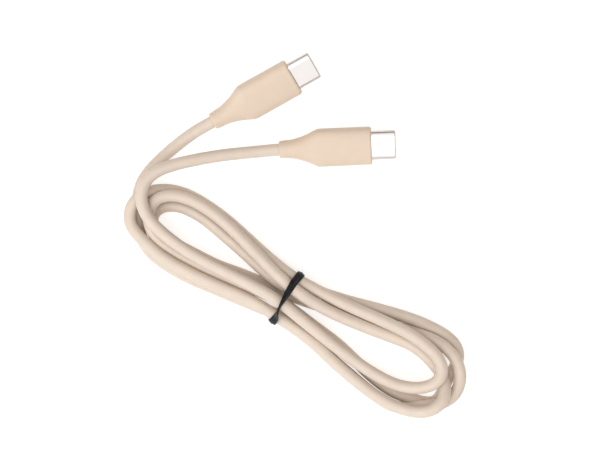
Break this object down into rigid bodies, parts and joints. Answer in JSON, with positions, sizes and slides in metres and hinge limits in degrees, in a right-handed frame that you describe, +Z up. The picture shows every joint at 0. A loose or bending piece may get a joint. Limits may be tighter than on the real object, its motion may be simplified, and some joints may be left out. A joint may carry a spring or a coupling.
{
  "type": "charging cable",
  "caption": "Round cream charging cable with a USB-C plug on each end, folded into a hank and held by a black twist tie.",
  "frame": {"origin": "middle of the cable's footprint, on the surface it lies on", "axes": "+Z up; +X to the right and +Y away, as the hank lies with its plugs at the far left; the hank runs from far left to near right"},
  "size_m": [0.0984, 0.1042, 0.0118],
  "materials": {
    "jacket": "matte thermoplastic elastomer, cream",
    "boot": "fine satin moulding, cream",
    "shell": "bright nickel plate",
    "sleeve": "moulded black",
    "contacts": "gold plate",
    "tinned": "tin plate",
    "board": "green solder mask",
    "chip": "moulded black",
    "wire_red": "insulation, red",
    "wire_white": "insulation, white",
    "wire_green": "insulation, green",
    "wire_black": "insulation, black",
    "wire_blue": "insulation, blue",
    "tie_film": "soft black plastic",
    "tie_wire": "galvanised iron"
  },
  "bodies": {
    "hank": {"cord_hank": "jacket", "tie_inner_film": "tie_film", "tie_wire": "tie_wire", "tie_outer_film": "tie_film", "tie_twisted_tails": "tie_film"},
    "lead_a": {"cord_lead_a": "jacket"},
    "plug_a": {"boot_a": "boot", "jacket_end_a": "jacket", "crimp_ring_a": "tinned", "conductor_red_a": "wire_red", "conductor_white_a": "wire_white", "conductor_green_a": "wire_green", "conductor_black_a": "wire_black", "conductor_blue_a": "wire_blue", "circuit_board_a": "board", "marker_chip_a": "chip", "shield_upper_a": "tinned", "shield_lower_a": "tinned", "contacts_upper_a": "contacts", "contacts_lower_a": "contacts", "latch_plate_a": "tinned", "contact_sleeve_a": "sleeve", "shell_a": "shell"},
    "lead_b": {"cord_lead_b": "jacket"},
    "plug_b": {"boot_b": "boot", "jacket_end_b": "jacket", "crimp_ring_b": "tinned", "conductor_red_b": "wire_red", "conductor_white_b": "wire_white", "conductor_green_b": "wire_green", "conductor_black_b": "wire_black", "conductor_blue_b": "wire_blue", "circuit_board_b": "board", "marker_chip_b": "chip", "shield_upper_b": "tinned", "shield_lower_b": "tinned", "contacts_upper_b": "contacts", "contacts_lower_b": "contacts", "latch_plate_b": "tinned", "contact_sleeve_b": "sleeve", "shell_b": "shell"}
  },
  "joints": [
    {"name": "lead_a_swing", "type": "hinge", "parent": "hank", "child": "lead_a", "pos_m": [-0.04465, 0.01445, 0.0018], "axis": [0, 0, 1], "range_deg": [-3, 20]},
    {"name": "plug_a_bend", "type": "hinge", "parent": "lead_a", "child": "plug_a", "pos_m": [-0.02391, 0.03266, 0.00337], "axis": [0, 0, 1], "range_deg": [-8, 15]},
    {"name": "lead_b_swing", "type": "hinge", "parent": "hank", "child": "lead_b", "pos_m": [-0.04345, 0.01385, 0.009], "axis": [0, 0, 1], "range_deg": [-12, 3]},
    {"name": "plug_b_bend", "type": "hinge", "parent": "lead_b", "child": "plug_b", "pos_m": [-0.00495, 0.02474, 0.00379], "axis": [0, 0, 1], "range_deg": [-15, 8]}
  ]
}
